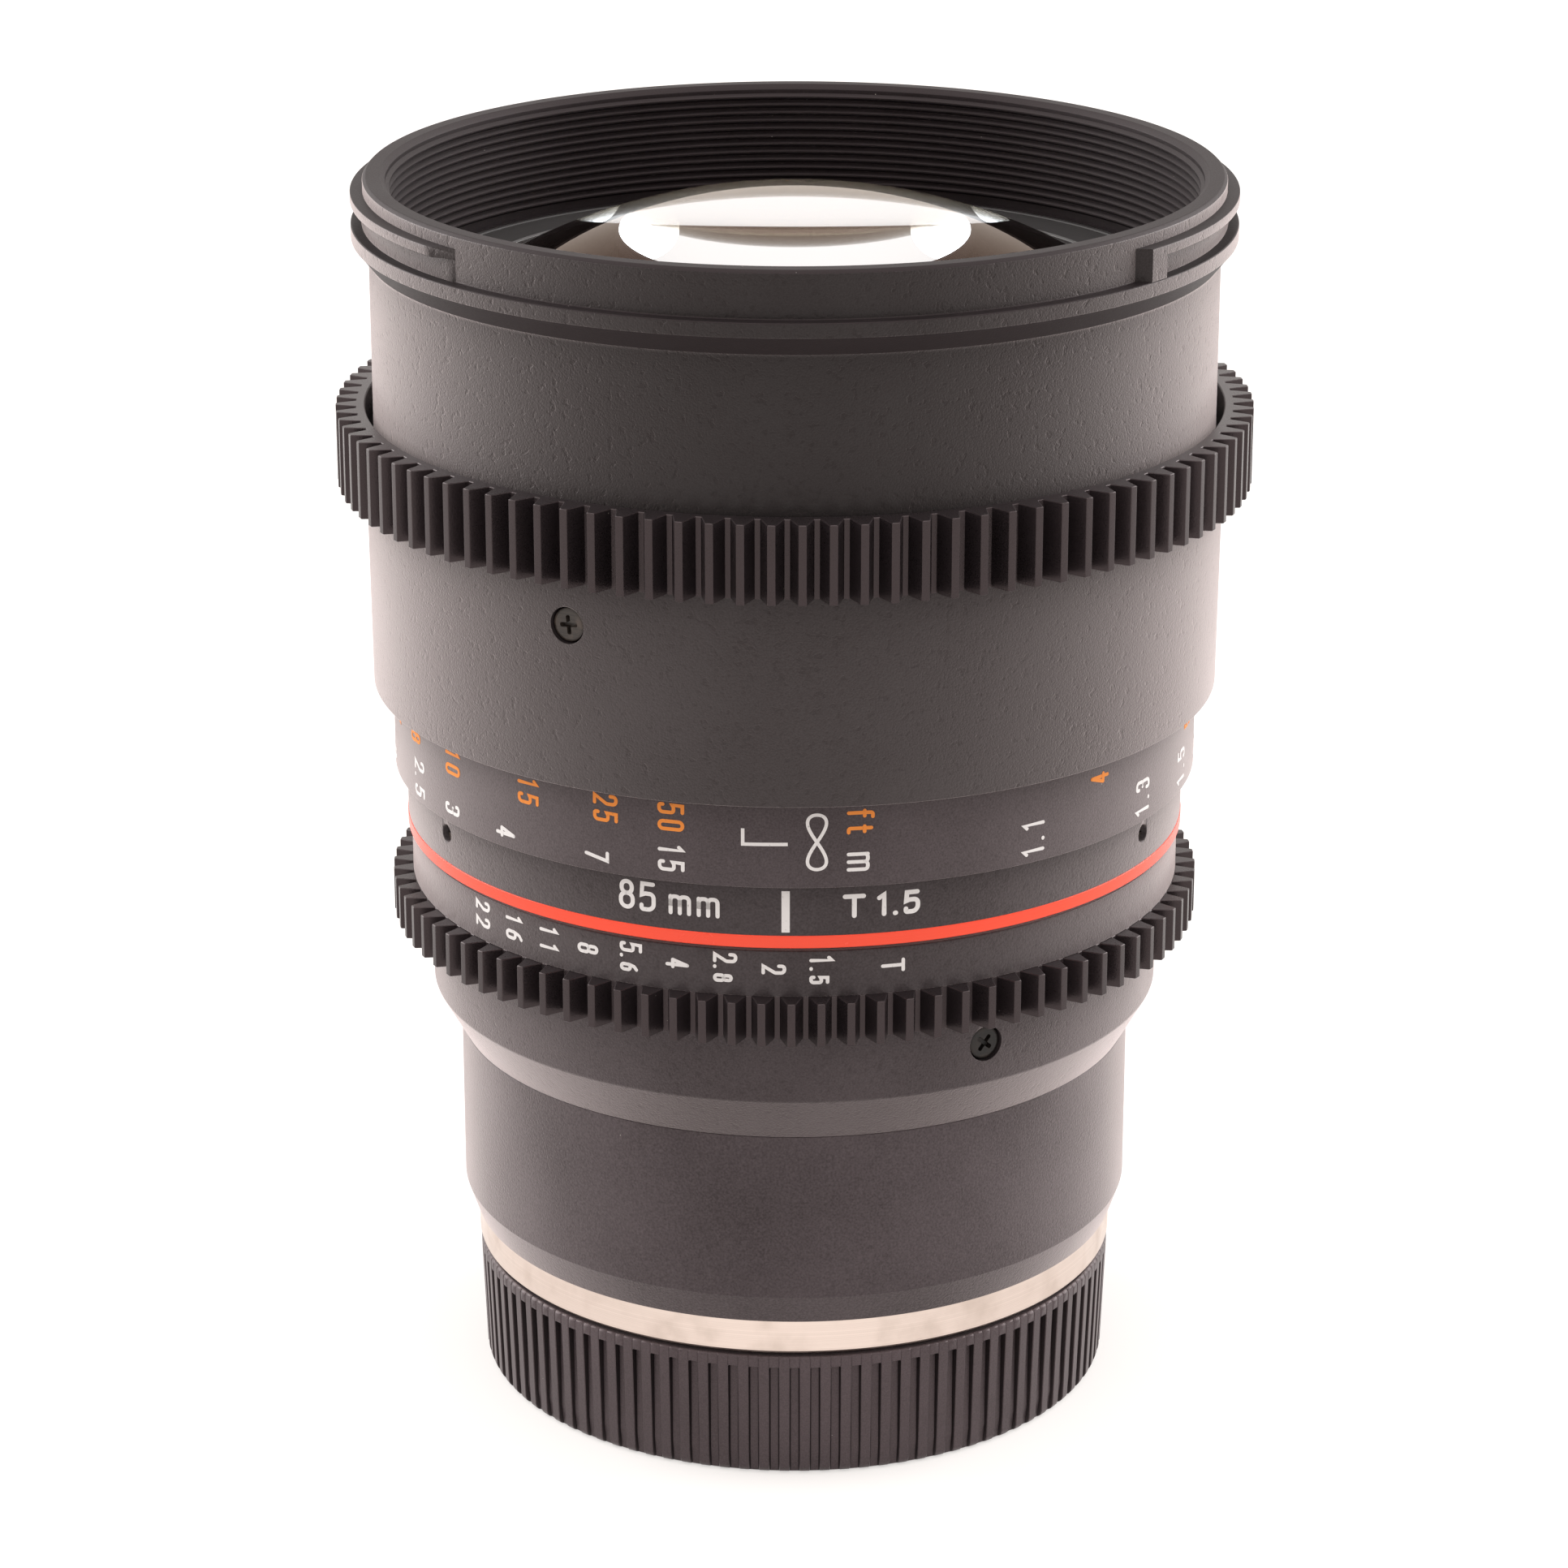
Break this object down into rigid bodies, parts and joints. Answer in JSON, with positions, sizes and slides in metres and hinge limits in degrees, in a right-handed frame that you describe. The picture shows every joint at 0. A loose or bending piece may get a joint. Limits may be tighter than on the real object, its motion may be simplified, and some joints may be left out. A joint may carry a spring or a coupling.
{
  "type": "cinema prime lens",
  "caption": "Cinema prime lens standing on its rear cap: geared focus and aperture rings turn, a helical cam slides the focusing group, and cam slots swing the iris blades.",
  "frame": {"origin": "centre of the rear cap's base, where the lens stands", "axes": "+Z along the optical axis towards the front glass, -Y towards the index line of the scales, +X to the right of someone reading the scales"},
  "size_m": [0.0816, 0.0816, 0.1129],
  "materials": {
    "barrel_paint": "fine pebbled black paint",
    "gear_plastic": "satin moulded black",
    "inner_black": "matt black anodised",
    "front_glass": "coated and polished",
    "glass": "coated and polished",
    "screw_steel": "blackened",
    "red_paint": "bright red lacquer",
    "mount_metal": "satin nickel",
    "cam_brass": "machined",
    "blade_steel": "blackened spring steel"
  },
  "bodies": {
    "lens_body": {"front_barrel": "barrel_paint", "front_retaining_ring": "inner_black", "front_cell": "inner_black", "lens_1": "front_glass", "lens_2": "glass", "lens_3": "glass", "front_spacer": "inner_black", "main_barrel": "inner_black", "barrel_screws": "screw_steel", "index_ring": "barrel_paint", "index_set_screws": "screw_steel", "red_trim_ring": "red_paint", "rear_barrel": "barrel_paint", "rear_barrel_screws": "screw_steel", "extension_barrel": "barrel_paint", "mount_ring": "mount_metal", "mount_screws": "screw_steel", "rear_baffle": "inner_black", "iris_base": "inner_black", "iris_cover": "inner_black", "rear_cell": "inner_black", "rear_lock_ring": "inner_black", "lens_7": "glass", "lens_8": "glass", "lens_9": "glass", "rear_retaining_ring": "inner_black"},
    "focus_ring": {"focus_gear": "gear_plastic", "focus_sleeve": "barrel_paint", "distance_scale_ring": "barrel_paint", "focus_ring_screws": "screw_steel", "focus_cam_tube": "cam_brass"},
    "focus_group": {"focus_cell": "inner_black", "focus_retaining_ring": "inner_black", "focus_spacer": "inner_black", "lens_4": "glass", "lens_5": "glass", "lens_6": "glass", "cam_rollers": "cam_brass"},
    "aperture_control": {"aperture_ring": "barrel_paint", "aperture_gear": "gear_plastic", "iris_drive_lever": "cam_brass", "iris_cam_ring": "cam_brass"},
    "blade_1": {"iris_blade_1": "blade_steel"},
    "blade_2": {"iris_blade_2": "blade_steel"},
    "blade_3": {"iris_blade_3": "blade_steel"},
    "blade_4": {"iris_blade_4": "blade_steel"},
    "blade_5": {"iris_blade_5": "blade_steel"},
    "blade_6": {"iris_blade_6": "blade_steel"},
    "blade_7": {"iris_blade_7": "blade_steel"},
    "blade_8": {"iris_blade_8": "blade_steel"},
    "cap": {"rear_cap": "gear_plastic"}
  },
  "joints": [
    {"name": "focus_turn", "type": "hinge", "parent": "lens_body", "child": "focus_ring", "pos_m": [0, 0, 0.0763], "axis": [0, 0, 1], "range_deg": [-8, 142]},
    {"name": "focus_travel", "type": "slide", "parent": "lens_body", "child": "focus_group", "axis": [0, 0, 1], "range_m": [-0.00049, 0.00853]},
    {"name": "aperture_turn", "type": "hinge", "parent": "lens_body", "child": "aperture_control", "pos_m": [0, 0, 0.0488], "axis": [0, 0, 1], "range_deg": [-5.4, 53.4]},
    {"name": "blade_1_swing", "type": "hinge", "parent": "lens_body", "child": "blade_1", "pos_m": [0.025, 0, 0.0475], "axis": [0, 0, 1], "range_deg": [-3.6, 35.1]},
    {"name": "blade_2_swing", "type": "hinge", "parent": "lens_body", "child": "blade_2", "pos_m": [0.01768, 0.01768, 0.0478], "axis": [0, 0, 1], "range_deg": [-3.6, 35.1]},
    {"name": "blade_3_swing", "type": "hinge", "parent": "lens_body", "child": "blade_3", "pos_m": [0, 0.025, 0.0481], "axis": [0, 0, 1], "range_deg": [-3.6, 35.1]},
    {"name": "blade_4_swing", "type": "hinge", "parent": "lens_body", "child": "blade_4", "pos_m": [-0.01768, 0.01768, 0.0484], "axis": [0, 0, 1], "range_deg": [-3.6, 35.1]},
    {"name": "blade_5_swing", "type": "hinge", "parent": "lens_body", "child": "blade_5", "pos_m": [-0.025, 0, 0.0487], "axis": [0, 0, 1], "range_deg": [-3.6, 35.1]},
    {"name": "blade_6_swing", "type": "hinge", "parent": "lens_body", "child": "blade_6", "pos_m": [-0.01768, -0.01768, 0.049], "axis": [0, 0, 1], "range_deg": [-3.6, 35.1]},
    {"name": "blade_7_swing", "type": "hinge", "parent": "lens_body", "child": "blade_7", "pos_m": [0, -0.025, 0.0493], "axis": [0, 0, 1], "range_deg": [-3.6, 35.1]},
    {"name": "blade_8_swing", "type": "hinge", "parent": "lens_body", "child": "blade_8", "pos_m": [0.01768, -0.01768, 0.0496], "axis": [0, 0, 1], "range_deg": [-3.6, 35.1]},
    {"name": "cap_twist", "type": "hinge", "parent": "lens_body", "child": "cap", "pos_m": [0, 0, 0.006], "axis": [0, 0, 1], "range_deg": [-60, 0]}
  ],
  "couplings": [
    {"joint": "focus_travel", "follows": "focus_turn", "m_per_rad": 0.0034377},
    {"joint": "blade_1_swing", "follows": "aperture_turn", "ratio": 0.6554},
    {"joint": "blade_2_swing", "follows": "aperture_turn", "ratio": 0.6554},
    {"joint": "blade_3_swing", "follows": "aperture_turn", "ratio": 0.6554},
    {"joint": "blade_4_swing", "follows": "aperture_turn", "ratio": 0.6554},
    {"joint": "blade_5_swing", "follows": "aperture_turn", "ratio": 0.6554},
    {"joint": "blade_6_swing", "follows": "aperture_turn", "ratio": 0.6554},
    {"joint": "blade_7_swing", "follows": "aperture_turn", "ratio": 0.6554},
    {"joint": "blade_8_swing", "follows": "aperture_turn", "ratio": 0.6554}
  ]
}
